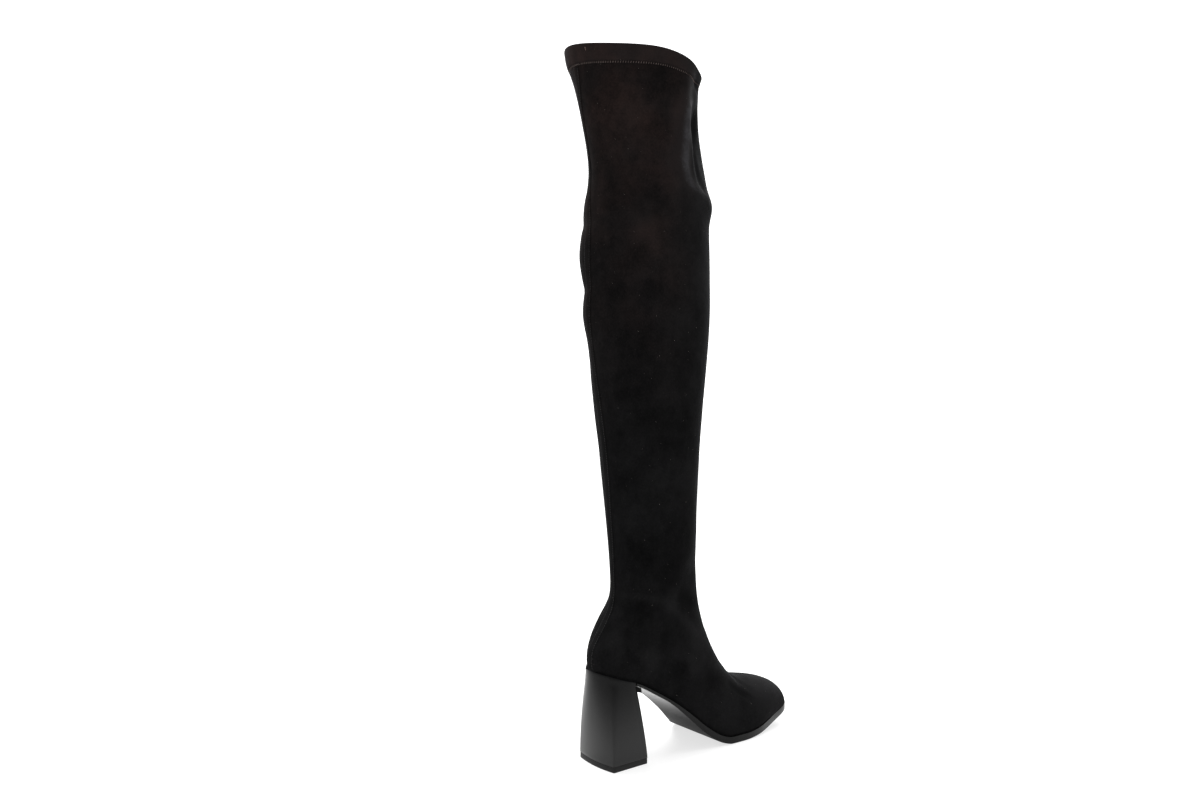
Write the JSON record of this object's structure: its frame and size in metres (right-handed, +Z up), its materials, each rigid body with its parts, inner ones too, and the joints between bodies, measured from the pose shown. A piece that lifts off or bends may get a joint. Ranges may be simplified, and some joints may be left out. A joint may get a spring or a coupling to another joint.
{
  "type": "over-the-knee block-heel boot",
  "caption": "Right-foot over-the-knee boot in black stretch suede with a squared toe, thin sole and flared block heel.",
  "frame": {"origin": "in the heel's tread, on the floor that the boot stands on", "axes": "+X to the toe, +Y to the inner side of the foot, +Z up the shaft"},
  "size_m": [0.2521, 0.1223, 0.6632],
  "materials": {
    "suede": "matt napped stretch suede",
    "suede_strip": "matt napped suede, stitched",
    "sock": "matt woven sock",
    "sole": "satin",
    "heel_lacquer": "satin lacquer",
    "heel_rubber": "matt"
  },
  "bodies": {
    "root": {"upper": "suede", "back_strip": "suede_strip", "insole": "sock", "outsole": "sole", "heel_block": "heel_lacquer", "heel_lift": "heel_rubber"}
  },
  "joints": []
}
